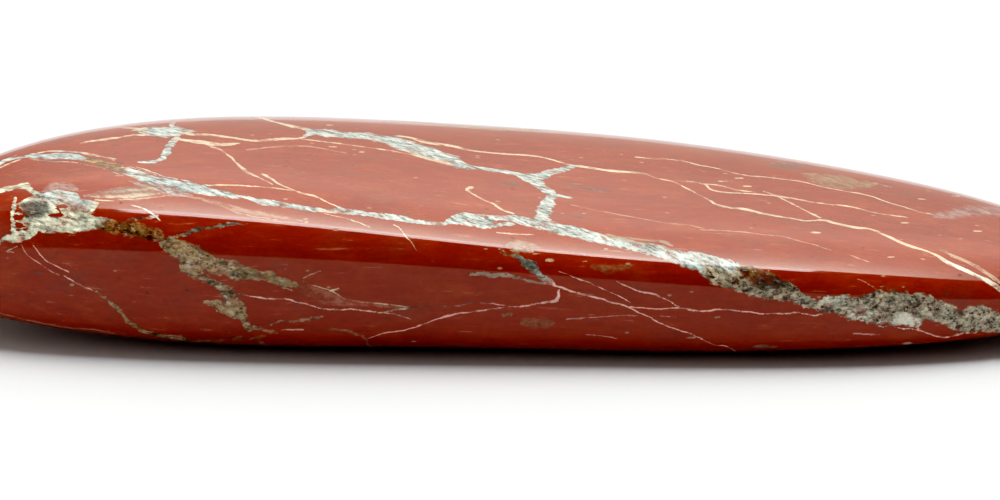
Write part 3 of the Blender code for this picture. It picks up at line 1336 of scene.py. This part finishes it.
TOP_MIDDLE_VEINS = (
    Vein("upper_thick_vein", Kind.SHARDS, (
        (305, 136, 3), (312, 133.5, 6), (323, 133, 10), (345, 135, 8), (362, 135, 8), (380, 138, 9),
        (396, 141.5, 11), (408, 146, 13), (420, 150.5, 15), (432, 155.5, 14), (445, 159, 13),
        (456, 163.5, 10), (466, 167, 7), (480, 168, 5), (498, 170.5, 5), (515, 173.5, 6), (526, 177, 9),
        (533, 180, 12))),
    Vein("long_cream_line", Kind.CREAM, (
        (396, 135.7, 3), (412, 138, 3), (425.7, 142.3, 4), (445.6, 144.8, 4), (468.8, 149.8, 3),
        (493, 153, 2.5), (529.6, 155.6, 2.5), (546, 158, 2.5), (562.8, 163, 2.5), (572.8, 165.6, 3),
        (586, 167.2, 3.5), (609, 170.5, 3.5), (634, 172.7, 3.5), (645.7, 173.8, 2.5), (655.7, 178, 2),
        (674, 182, 2), (684, 187, 2.2), (692, 191, 2), (708.7, 199.5, 2), (719, 205.6, 2.5),
        (746, 209.4, 3.5), (757.4, 212.3, 3), (776.5, 216, 2.5), (795.7, 219, 2.5), (807, 220.9, 2),
        (824.4, 220, 2.5), (834, 222.8, 3), (857, 227.6, 4), (868.4, 228.5, 3), (883.7, 234.3, 3.5),
        (906.6, 244.8, 4), (925.8, 250.5, 2.8), (937, 255.3, 3.5), (946.8, 262, 4.5), (967.9, 271.6, 5.5),
        (987, 281, 5.5), (1000, 288.8, 5.5), (1012, 300, 5.5), (1025, 309, 5), (1040, 316, 4)),
        after=((57, 215, 0.5), (54, 245, 0.4))),
    Vein("ochre_fan", Kind.OLIVE, (
        (940, 250, 3), (955, 256, 4), (970, 263, 5), (985, 272, 5), (1000, 283, 5)), 0.6),
    Vein("fan_hairline", Kind.CREAM, thin(1.5, (950, 256), (966, 262), (982, 270), (994, 278)), 0.7),
    Vein("middle_hairline", Kind.CREAM, thin(
        1.8, (301, 139), (329.5, 142.3), (354, 145.6), (379, 149), (404, 153), (425.7, 158.9),
        (445.6, 163))),
    Vein("faint_hairline", Kind.CREAM, thin(
        2, (246.6, 149.8), (279.8, 146.5), (309.6, 146.5), (346, 153)), 0.4),
    fleck("top_fleck_a", Kind.CREAM, 332.8, 146.8, 6, 2),
    fleck("top_fleck_b", Kind.CREAM, 361.8, 152, 4, 2),
    fleck("top_fleck_c", Kind.CREAM, 329.5, 125, 5, 1.5),
    fleck("slate_fleck_a", Kind.DARK, 351, 165.5, 10, 3, 0.6),
    fleck("slate_fleck_b", Kind.DARK, 299.6, 172, 8, 2.5, 0.6),
    Vein("tick", Kind.CREAM, (
        (471.6, 187, 5), (466.6, 189.6, 4), (470, 192, 3), (480, 198, 2), (493, 203.7, 2.5),
        (501.5, 209.5, 3), (513, 213.6, 3))),
    Vein("connector_spur", Kind.SHARDS, (
        (573, 167, 5), (566, 168.5, 6), (553, 171.5, 7), (543, 175.5, 9), (533, 177, 12))),
    Vein("connector", Kind.SHARDS, (
        (533, 180, 13), (539.6, 186, 9), (548, 191, 11), (552, 194.6, 11), (549, 200, 13), (546, 205, 14),
        (544, 210, 15), (543, 216, 17), (541, 221, 20))),
    Vein("connector_thorn", Kind.SHARDS, ((556, 195, 5), (563, 196.5, 4), (572, 198, 2))),
    Vein("right_hairline", Kind.CREAM, thin(
        1.3, (569.4, 204.5), (592.6, 209.5), (619, 214.5), (642.4, 218.6), (664, 222.8), (683.9, 224.4),
        (705.4, 228.6)), 0.45),
)

CREST_VEINS = (
    Vein("crest_outline_high", Kind.CREAM, thin(
        1.6, (25, 155.5), (40, 152.5), (54, 151), (72, 152), (90, 154.8), (108, 158.5), (124, 165),
        (140, 170), (156, 175))),
    Vein("crest_outline_low", Kind.CREAM, thin(
        1.6, (30, 158.5), (50, 161), (72, 162), (92, 165.5), (108, 170), (122, 176))),
    Vein("crest_vein_left", Kind.SHARDS, (
        (0, 163, 4), (12, 159, 3), (25, 156.5, 3), (40, 156, 5), (52, 156, 8), (65, 156.5, 8), (78, 158, 6),
        (90, 160, 7), (103, 163.5, 8), (116, 167.5, 8), (128, 172, 9), (140, 176, 11), (152, 180, 13),
        (165, 183.5, 14), (180, 186, 14), (195, 188, 12), (210, 191, 10), (222, 193.5, 8), (235, 196, 6),
        (247, 197.5, 6), (263, 202.8, 8), (280, 204.5, 7), (305, 207.8, 6), (326, 210.3, 6), (346, 211, 7),
        (371, 214.4, 6), (396, 217.8, 7), (416, 221, 5), (439, 223.6, 5), (445, 224, 4)),
        before=((-58, 175, 0.6), (-56, 160, 0.8))),
    Vein("crest_vein_middle", Kind.SHARDS, (
        (445, 223, 4), (452, 221, 9), (462, 219, 13), (475, 219.5, 14), (487, 219.5, 13), (497, 218, 8),
        (510, 218.5, 8), (524, 221, 9), (538, 223.5, 11), (552, 226.5, 12), (566, 230, 12),
        (580, 233.5, 11), (594, 237, 11), (608, 240, 11), (622, 243, 11), (636, 246, 11), (650, 248.5, 13),
        (664, 251.5, 14), (678, 256, 16), (690, 261, 17), (702, 265, 19), (714, 269, 22))),
    Vein("crest_loop", Kind.SHARDS, ((478, 226, 5), (490, 227, 5), (503, 224, 5), (512, 224, 5))),
    Vein("crest_border", Kind.ASH, ((610, 236, 2.5), (640, 239.5, 3), (660, 241.5, 4), (672, 245, 4)), 0.7),
    Vein("gravel", Kind.GRAVEL, (
        (714, 269, 20), (720, 272.5, 24), (742, 280, 26), (760, 283, 29), (780, 290, 23), (800, 298, 14),
        (820, 305.5, 12), (840, 306, 20), (860, 308, 26), (880, 307, 35), (900, 310, 37), (915, 310, 34),
        (930, 309.5, 26), (945, 314.5, 24), (960, 319, 25), (980, 319, 29), (990, 324, 20), (1000, 326, 15),
        (1015, 326, 12), (1035, 322, 8), (1060, 315, 5)), after=((58, 190, 0.6), (56, 160, 0.4))),
    Vein("gravel_white_edge", Kind.SHARDS, (
        (690, 252, 5), (705, 256, 7), (720, 260, 7), (732, 264, 7), (742, 267, 5))),
    Vein("gravel_rust", Kind.OCHRE, ((742, 269, 4), (752, 271, 7), (763, 272, 7), (775, 276, 6))),
    Vein("gravel_white_blob", Kind.QUARTZ, ((898, 321, 5), (906, 321.5, 9), (914, 323, 6))),
    fleck("gravel_pale_blob_a", Kind.CHALK, 832, 299, 14, 7),
    fleck("gravel_pale_blob_b", Kind.CHALK, 861, 313, 10, 8),
    Vein("under_crest_line", Kind.CREAM, thin(2, (495.7, 232.7), (513, 234), (534.6, 234.7))),
    Vein("crest_branch_a", Kind.CREAM, thin(1.5, (323, 212.8), (346, 218.6), (361, 223.6), (371, 228.5))),
    Vein("crest_branch_b", Kind.CREAM, thin(
        2, (392.5, 224.4), (399, 227.7), (405.8, 236), (412.4, 244), (417.4, 250.7))),
    Vein("broad_pale_patch", Kind.ASH, (
        (84, 196, 3), (100, 194.5, 8), (120, 193.5, 12), (140, 192, 13), (160, 190, 12),
        (178, 187.5, 8)), 0.4),
    Vein("crest_wedge", Kind.SHARDS, (
        (128, 181, 2), (140, 184, 6), (152, 187.5, 10), (164, 190.5, 11), (176, 192.5, 9),
        (192, 195, 4)), 0.55),
    # Pale pink streaks along the crest highlight, laid strong enough to add to the highlight's glow: partly
    # the stone's own streaks, partly painted highlight.
    Vein("streak_and_painted_highlight_band", Kind.CREAM, (
        (181, 194.5, 2), (196, 197.5, 4), (211, 201, 5), (230, 206.5, 6), (251, 212, 6), (277, 216.5, 5),
        (303, 220.5, 3)), 0.35),
    Vein("streak_and_painted_highlight_line", Kind.CREAM, thin(
        1.5, (181, 194.5), (211, 200.5), (228, 209), (251, 216), (280, 220)), 0.5),
    Vein("pale_streak_a", Kind.ASH, (
        (90, 196.5, 2), (110, 196.5, 4), (135, 195.5, 5), (160, 192.5, 5), (186, 188, 3)), 0.95),
    Vein("pale_streak_b", Kind.ASH, (
        (104, 192.5, 2), (125, 191, 3.5), (145, 189, 5), (166, 186, 4), (180, 184, 2)), 0.95),
    Vein("pale_streak_c", Kind.CREAM, thin(2, (118, 199.5), (140, 199), (160, 196.5), (176, 193.5)), 0.7),
    Vein("pale_patch_line", Kind.CREAM, thin(2, (94, 199.8), (116, 200.7))),
)

LEFT_GRIT_VEINS = (
    Vein("left_patch_top", Kind.CHALK, (
        (0, 191, 6), (10, 188.5, 6), (21.6, 186, 7), (30, 189.6, 8), (38, 194.5, 10)),
        before=((-58, 185, 0.8), (-55, 178, 1.0))),
    Vein("left_patch", Kind.CHALK, (
        (28, 205, 20), (40, 206, 34), (52, 206, 42), (65, 208, 40), (78, 209, 34), (86, 207, 24))),
    Vein("left_patch_low", Kind.CHALK, (
        (30, 222, 22), (45, 224, 22), (60, 222, 26), (80, 222, 22), (100, 223, 16), (115, 223, 8))),
    Vein("ladder_post", Kind.CHALK, ((14, 198, 5), (13, 210, 5), (12, 222, 5), (14, 235, 6), (20, 240, 8))),
    Vein("left_patch_foot", Kind.CHALK, (
        (0, 243, 7), (12, 240, 10), (22, 237, 10), (35, 232, 10)),
        before=((-58, 215, 0.8), (-55, 205, 1.0))),
    Vein("ladder_rung_a", Kind.CHALK, thin(2.5, (14, 205), (26, 206))),
    Vein("ladder_rung_b", Kind.CHALK, thin(2, (14, 213), (24, 214.5))),
    Vein("ladder_rung_c", Kind.CHALK, thin(2.5, (14, 222), (26, 222))),
    Vein("ladder_rung_d", Kind.CHALK, thin(2.5, (14, 230), (26, 229))),
    Vein("smoke_above_patch", Kind.SHARDS, ((44, 191, 6), (56, 188, 11), (66, 187, 10), (76, 190, 5)), 0.3),
    Vein("line_a", Kind.SLATE, thin(4, (116, 224), (131, 220), (147.6, 217), (157.5, 215.8))),
    Vein("line_b", Kind.QUARTZ, (
        (161, 222.5, 1.5), (157.5, 218, 3), (152, 213.5, 3.5), (146, 210, 3), (139, 207, 2),
        (130, 205.5, 1))),
    Vein("line_c", Kind.SLATE, (
        (174, 236, 4), (190.7, 232, 5), (204, 228.5, 5), (216, 226, 4), (232, 224, 3), (247, 224, 2))),
    Vein("rust_patch", Kind.OCHRE, (
        (104, 228, 8), (115, 228, 13), (128, 229, 16), (140, 230, 17), (152, 233, 15), (160, 236, 13))),
    Vein("clay_band", Kind.CLAY, (
        (165, 244, 16), (176, 248, 20), (188, 254, 22), (200, 260, 22), (212, 264, 21), (224, 267, 19),
        (236, 270, 17), (248, 273, 13), (262, 276, 12), (275, 280, 10), (288, 284, 8), (300, 286, 6))),
    Vein("ochre_stain", Kind.OCHRE, (
        (298, 288, 8), (312, 293, 13), (325, 297, 14), (338, 300, 11), (352, 302, 8), (368, 304, 5),
        (385, 306, 4), (400, 308, 3)), 0.22),
    Vein("stain_border", Kind.CREAM, thin(
        1.8, (301, 282), (323, 288), (336, 293), (346, 298.8), (372.6, 303), (396, 305.4), (410.8, 308))),
    Vein("stain_border_low", Kind.CREAM, thin(1.8, (279.8, 286), (294.7, 293))),
    Vein("stain_tick", Kind.CREAM, thin(3, (329.5, 291), (339.5, 288))),
    Vein("stain_thorn", Kind.CREAM, thin(1.5, (303, 278.9), (311, 274.7), (321, 271.4)), 0.6),
)

FRONT_LEFT_VEINS = (
    Vein("front_line", Kind.ROSE, thin(
        2, (230, 291), (251.6, 296), (273, 298.8), (286, 299), (296, 302), (313, 306), (323, 309.5),
        (338, 309.5), (349, 308.7), (362.7, 310), (382.6, 312.9), (395.8, 315), (412.4, 320))),
    Vein("front_link", Kind.CREAM, thin(3, (382.6, 312.9), (396, 310), (410.8, 308.7))),
    Vein("front_dark_line", Kind.DARK, thin(
        2, (410.8, 308), (437, 306), (460, 305.5), (475, 303.8), (493, 303.8), (506, 306)), 0.8),
    Vein("front_cluster", Kind.CLAY, (
        (184, 266, 12), (198, 275, 12), (212, 282, 9), (222, 287, 10), (229, 293, 14), (234, 299, 17),
        (238, 306, 14), (241, 313, 10), (243, 320, 9), (246, 327, 8), (250, 331, 6))),
    Vein("front_cluster_arm", Kind.CLAY, (
        (204, 301, 4), (214, 304, 9), (224, 308, 12), (234, 313, 12), (241, 318, 9))),
    Vein("foot_line", Kind.CLAY, thin(
        5, (136, 327.8), (142.6, 331), (154, 334), (167.5, 337), (179, 337.7), (190.7, 341))),
    Vein("foot_line_run", Kind.OLIVE, thin(
        3, (190.7, 341), (225, 340.5), (260, 341)), 0.6,
        after=((-20, 236, 0.5), (-14, 250, 0.6), (-5, 262, 0.5))),
    Vein("foot_rust", Kind.OCHRE, thin(5, (230, 337), (251.6, 337.7), (263, 336)), 0.6),
    Vein("foot_grey", Kind.CLAY, thin(5, (248, 328), (262, 330), (276, 332.8)), 0.8),
    Vein("foot_arch", Kind.CLAY, thin(
        3.5, (270, 325), (283, 320.5), (296, 321), (309.6, 319.5), (323, 316)), 0.7),
    Vein("foot_hairline", Kind.ROSE, thin(2, (280, 330), (304.6, 329.5)), 0.8),
    Vein("foot_slant", Kind.CLAY, thin(
        3, (329.5, 330), (346, 331), (356, 334.4), (366, 339.4)), 0.6,
        after=((-11, 228, 0.5), (-7, 245, 0.4))),
    Vein("end_line", Kind.ROSE, (
        (32, 245, 2), (38, 251.5, 2), (46.4, 260.6, 2), (58, 266.4, 2), (71, 273, 1.5))),
    Vein("end_line_white", Kind.ROSE, (
        (63, 275.5, 1.5), (71, 279.7, 2), (81, 284.7, 2.5), (97.8, 292, 2.5))),
    Vein("end_line_olive", Kind.OLIVE, (
        (97.8, 292, 2.5), (106, 298, 4), (114.4, 306, 5), (122.7, 312.8, 5), (127.7, 321, 6),
        (136, 327.8, 5))),
    Vein("end_hairline", Kind.ROSE, thin(1.2, (20, 243), (25, 253), (43, 266.4), (61, 275.5)), 0.7),
    Vein("end_triangle_a", Kind.CREAM, thin(1.4, (5, 252), (18, 247)), 0.8),
    Vein("end_triangle_b", Kind.CREAM, thin(1.4, (5, 252), (15, 252.5)), 0.8),
    fleck("end_slate", Kind.DARK, 39, 273, 8, 4, 0.7),
    Vein("end_foot", Kind.CREAM, thin(
        2, (0, 313), (33, 321), (70, 327.8), (93, 329.4), (114.4, 333.6)), 0.4),
)

FRONT_MIDDLE_VEINS = (
    Vein("ridge_vein", Kind.SHARDS, (
        (500.6, 250.8, 4), (509.7, 254, 5), (519.7, 258, 8), (526, 263, 11), (533, 269, 11),
        (539.6, 275.6, 8), (549.5, 280.6, 8), (554.5, 284.7, 5))),
    Vein("ridge_olive", Kind.OLIVE, ((512, 250, 5), (523, 250.5, 7), (533, 252, 4)), 0.8),
    Vein("ridge_smear", Kind.ASH, ((505, 246, 3), (515, 244, 6), (528, 245, 7), (538, 248, 4)), 0.6),
    Vein("ridge_side", Kind.ASH, (
        (470, 274, 3), (480, 273, 5), (492, 275, 6), (503, 274, 6), (515, 277, 4), (528, 280, 4),
        (540, 283, 4), (552, 285, 3)), 0.8),
    Vein("hook", Kind.ROSE, (
        (559.5, 289.7, 4), (557.8, 294.7, 5), (559.5, 298.8, 5), (552.9, 301, 4), (539.6, 303, 3),
        (526, 305.5, 2.5), (509.7, 307, 2), (490, 308.7, 2), (475, 311, 2), (453.9, 314.5, 2.5),
        (437, 319.5, 2.5), (420.7, 325, 2), (404, 329.5, 2), (382.6, 333.6, 2), (367.6, 338.6, 2))),
    Vein("long_front_line", Kind.ROSE, (
        (551, 284.7, 3), (567.8, 289.7, 3), (579.4, 293, 2.5), (589.4, 296.4, 2.5), (601, 298.8, 2.5),
        (615.9, 303, 2.5), (629, 307, 2.5), (637.5, 312, 2), (647.4, 316, 2), (662.4, 324.5, 2),
        (675.6, 328.7, 2), (692, 334.5, 2), (705.5, 341, 2), (715.4, 345.3, 2), (725, 346, 1.5),
        (735.4, 351, 1.5)), after=((27, 240, 0.6), (34, 252, 0.7), (40, 266, 0.6), (44, 285, 0.4))),
    Vein("right_front_line", Kind.ROSE, thin(
        2.3, (629, 306.3), (642.4, 308), (659, 309), (679, 308), (692, 310.5), (705.5, 311.6), (723, 309.8),
        (747.8, 311.7), (767, 313.7), (786, 313), (799.5, 312.3), (812.9, 314.6), (824.4, 312.7))),
    Vein("gravel_border", Kind.ROSE, thin(
        2.2, (834, 314.6), (862.6, 320.4), (891, 327), (916, 330), (929.6, 333.7), (944.9, 337.6),
        (962, 333.7), (977.4, 332.8))),
    Vein("front_lens", Kind.ROSE, (
        (615.9, 281.4, 2), (627.5, 286.4, 2), (639, 290.5, 3), (650.7, 293, 3), (659, 296.4, 2),
        (670.6, 302, 2), (680.5, 307, 2))),
    Vein("ridge_hairline", Kind.ROSE, thin(
        1.5, (557.8, 270.6), (576, 278), (592.6, 284.7), (606, 290.5), (615.9, 294.7), (629, 301.3),
        (632.4, 303.8))),
    Vein("ridge_specks", Kind.OLIVE, ((592, 266, 6), (605, 268, 10), (618, 268, 10), (632, 264, 5)), 0.4),
    fleck("ridge_fleck_a", Kind.CREAM, 550.4, 260.7, 8, 4),
    fleck("ridge_fleck_b", Kind.CREAM, 537, 254, 8, 2),
    fleck("ridge_fleck_c", Kind.CREAM, 584, 260.7, 6, 2),
    fleck("olive_cloud", Kind.OLIVE, 537, 323, 26, 11, 0.4),
    fleck("olive_dash", Kind.OLIVE, 508, 314.6, 12, 4, 0.7),
    Vein("low_line_a", Kind.ROSE, thin(1.5, (566, 319.6), (609, 316), (639, 315.4)), 0.5),
    Vein("low_line_b", Kind.ROSE, thin(1.5, (586, 334.5), (601, 336), (619, 338.6)), 0.6),
    Vein("low_line_c", Kind.ROSE, thin(1.5, (659, 316), (675.6, 317)), 0.6),
    fleck("low_fleck_a", Kind.CREAM, 691, 338, 6, 4),
    Vein("gravel_pink", Kind.ROSE, thin(1.5, (855, 279), (864.5, 282), (874, 288.8)), 0.5),
    fleck("gravel_fleck_a", Kind.CREAM, 881.8, 286.9, 5, 2),
    fleck("gravel_fleck_b", Kind.CREAM, 902.8, 286.9, 5, 2),
    Vein("low_line_d", Kind.ROSE, thin(2.5, (853, 333.7), (879.8, 334.3)), 0.6),
    fleck("low_fleck_b", Kind.CREAM, 907.6, 343.3, 5, 4),
    fleck("low_fleck_c", Kind.CREAM, 717, 317.5, 6, 3),
    fleck("low_smear", Kind.ASH, 765, 347, 20, 4, 0.5),
)

TOP_RIGHT_VEINS = (
    Vein("right_row", Kind.CREAM, thin(
        1.9, (687, 181), (703.7, 183.8), (709.6, 189.3), (721, 192), (738, 193), (755.5, 194), (776.5, 196),
        (795.7, 198.9), (811, 201.7), (824.4, 203.7), (843.5, 205.6), (858.8, 208.4), (872, 212.3),
        (891, 215), (906.6, 217))),
    Vein("right_row_double", Kind.CREAM, thin(2, (700, 183.6), (719, 185.5), (738, 190), (755.5, 192))),
    Vein("right_row_slant", Kind.CREAM, thin(
        1.8, (763, 191), (776.5, 196), (788, 201.7), (799.5, 207.5), (809, 212.3), (820.5, 218))),
    Vein("right_far_row", Kind.CREAM, thin(
        1.6, (635.8, 157), (655.7, 159), (667, 159), (683.9, 161.4), (700, 165.4), (717, 168.3), (734, 173),
        (749.7, 176), (765, 176.9), (780, 178.8), (795.7, 180.7), (805, 182), (818.6, 185.5),
        (841.6, 190.3), (862.6, 194), (874, 197), (883.7, 200.8), (902.8, 206.5), (920, 212.3),
        (933.4, 214))),
    Vein("olive_patch", Kind.OLIVE, (
        (806, 174, 5), (818, 177, 11), (832, 180, 14), (846, 182, 14), (858, 184, 10), (868, 184, 8),
        (876, 182, 3)), 0.6),
    Vein("olive_streak", Kind.OLIVE, thin(2, (864.6, 180), (872, 182.6), (891, 187)), 0.8),
    Vein("blue_patch", Kind.FROST, (
        (935, 217, 5), (950, 215, 9), (970, 212, 11), (990, 211, 12), (1010, 213, 10)), 0.3),
    Vein("slate_patch_a", Kind.DARK, ((772, 165, 5), (785, 166, 9), (800, 166, 6)), 0.4),
    fleck("right_fleck_a", Kind.CREAM, 723, 181.3, 7, 2),
    fleck("right_fleck_b", Kind.CREAM, 739, 178, 7, 2),
    fleck("right_fleck_c", Kind.CREAM, 747.5, 186.4, 7, 2),
    fleck("right_fleck_d", Kind.CREAM, 815.8, 232.7, 8, 3),
    fleck("right_fleck_e", Kind.CREAM, 922, 199, 6, 2),
    fleck("right_fleck_f", Kind.CREAM, 977.4, 231, 7, 2),
    fleck("right_fleck_g", Kind.CREAM, 956, 196, 6, 2),
    fleck("right_fleck_h", Kind.CREAM, 891, 257, 7, 2),
    fleck("right_fleck_i", Kind.CREAM, 904.7, 222.8, 6, 2),
    Vein("right_low_row", Kind.CREAM, thin(
        1.3, (700, 229.5), (738, 231.4), (757.4, 234), (780, 236), (799.5, 241), (814.8, 244.8),
        (832, 250.5)), 0.5),
    Vein("right_low_row_end", Kind.CREAM, thin(1.3, (847, 254), (872, 263)), 0.6),
    fleck("slate_patch_b", Kind.DARK, 510, 184, 12, 6, 0.5),
    Vein("slate_patch_c", Kind.DARK, ((566, 185, 4), (588, 188, 6), (610, 192, 4)), 0.45),
    fleck("slate_patch_d", Kind.DARK, 577, 217, 8, 4, 0.5),
)

HIDDEN_VEINS = (
    Vein("back_line", Kind.CREAM, before=(
        (-53, 24, 0.5), (-44, 10, 0.8), (-34, -4, 0.7), (-22, -9, 0.9), (-8, 2, 1.0), (6, 4, 0.7),
        (18, -6, 0.6), (30, -14, 0.7), (42, -4, 0.6), (52, 8, 0.5), (58, 20, 0.4))),
    Vein("back_branch", Kind.CREAM, before=((-8, 2, 0.7), (-1, -12, 0.6), (6, -26, 0.8), (16, -38, 0.5))),
    Vein("back_thick_vein", Kind.SHARDS, before=(
        (-48, -18, 0.8), (-42, -22, 2.0), (-35, -26, 2.6), (-27, -32, 2.0), (-19, -40, 1.2),
        (-11, -52, 0.7))),
    Vein("back_gravel", Kind.GRAVEL, before=(
        (24, -2, 0.8), (30, 4, 2.2), (37, 3, 3.0), (44, -4, 2.4), (50, -12, 1.2), (55, -25, 0.6))),
    Vein("back_clay", Kind.CLAY, before=(
        (-14, 18, 0.6), (-8, 22, 1.8), (-1, 24, 2.2), (6, 20, 1.2)), strength=0.7),
    Vein("tip_line_thick", Kind.CREAM, before=(
        (-56, 118, 0.6), (-59.5, 80, 0.7), (-60, 20, 0.6), (-58, -30, 0.8), (-54, -60, 0.5))),
    Vein("tip_patch_thick", Kind.CHALK, before=(
        (-55, 185, 2.0), (-57.5, 205, 2.2), (-57, 235, 1.6), (-55, 260, 0.8))),
    Vein("tip_line_thin", Kind.CREAM, before=(
        (55, 95, 0.5), (58.5, 60, 0.6), (60, 0, 0.5), (57, -40, 0.6))),
    Vein("under_line", Kind.CREAM, before=(
        (-52, 245, 0.6), (-40, 262, 0.8), (-26, 275, 0.6), (-10, 282, 0.9), (6, 290, 0.7), (22, 296, 0.6),
        (38, 290, 0.7), (50, 300, 0.5))),
    Vein("under_thick_vein", Kind.SHARDS, before=(
        (-46, 300, 0.9), (-38, 306, 2.4), (-28, 304, 3.0), (-18, 300, 2.2), (-9, 305, 1.0))),
    Vein("under_gravel", Kind.GRAVEL, before=(
        (10, 255, 0.8), (18, 262, 2.4), (27, 264, 3.2), (36, 258, 2.2), (45, 250, 1.0))),
    Vein("under_branch", Kind.CREAM, before=((-10, 282, 0.6), (-4, 268, 0.5), (3, 252, 0.6))),
)

SURFACE_VEINS = (
    LEFT_GRIT_VEINS + TOP_LEFT_VEINS + TOP_MIDDLE_VEINS + TOP_RIGHT_VEINS + FRONT_LEFT_VEINS
    + FRONT_MIDDLE_VEINS + CREST_VEINS + HIDDEN_VEINS
)

STAINS = (
    Vein("rust_on_crest_left", Kind.OCHRE, ((90, 160, 10), (103, 163.5, 11), (119, 168, 9))),
    Vein("frost_on_crest_left", Kind.FROST, ((50, 156, 10), (65, 156.5, 10), (74, 157, 9))),
    Vein("frost_on_crest_blue", Kind.FROST, ((165, 183.5, 14), (180, 186, 14), (195, 188, 12))),
    Vein("grey_on_patch_top", Kind.SHARDS, ((44, 193, 8), (58, 194, 12), (72, 196, 12), (85, 202, 9))),
    Vein("olive_on_clay_end", Kind.OLIVE, ((244, 271, 13), (262, 276, 12), (285, 282, 10), (305, 288, 8))),
    Vein("grey_on_thick_vein", Kind.FROST, ((366, 133, 5), (378, 134, 6), (390, 136, 5))),
    Vein("grey_on_patch", Kind.SLATE, ((28, 207, 10), (35, 209, 13), (43, 209, 10))),
    Vein("brown_on_gravel", Kind.DARK, ((756, 280.5, 5), (768, 281.5, 7), (782, 283, 4))),
    Vein("white_on_cream_end", Kind.QUARTZ, (
        (950, 263.5, 2.5), (968, 272, 4), (987, 281.5, 4.5), (1000, 289, 4))),
    Vein("olive_on_ridge", Kind.OLIVE, ((500, 250, 4), (508, 252.5, 5), (516, 256, 6))),
    Vein("dark_on_ridge", Kind.SLATE, ((520, 260, 7), (527, 265, 8), (533, 269, 7))),
)

ISLANDS = (
    fleck("island_a", Kind.CREAM, 500, 221.5, 12, 3.5),
    fleck("island_b", Kind.CREAM, 62, 206.5, 9, 6),
    fleck("island_c", Kind.CREAM, 55.5, 215, 12, 6),
)


def main() -> None:
    """Builds the camera, the stone and the studio."""
    logging.basicConfig(level=logging.INFO, format="%(name)s: %(message)s")
    camera = PhotoCamera()
    camera.build()
    stone = RedJasper(StoneForm(), camera, JasperFinish(), SURFACE_VEINS, STAINS, ISLANDS).build()
    log.info("%s: %d faces", stone.name, len(stone.data.polygons))
    Studio().build()
    log.info("studio: floor, surroundings and lamps")


if __name__ == "__main__":
    main()
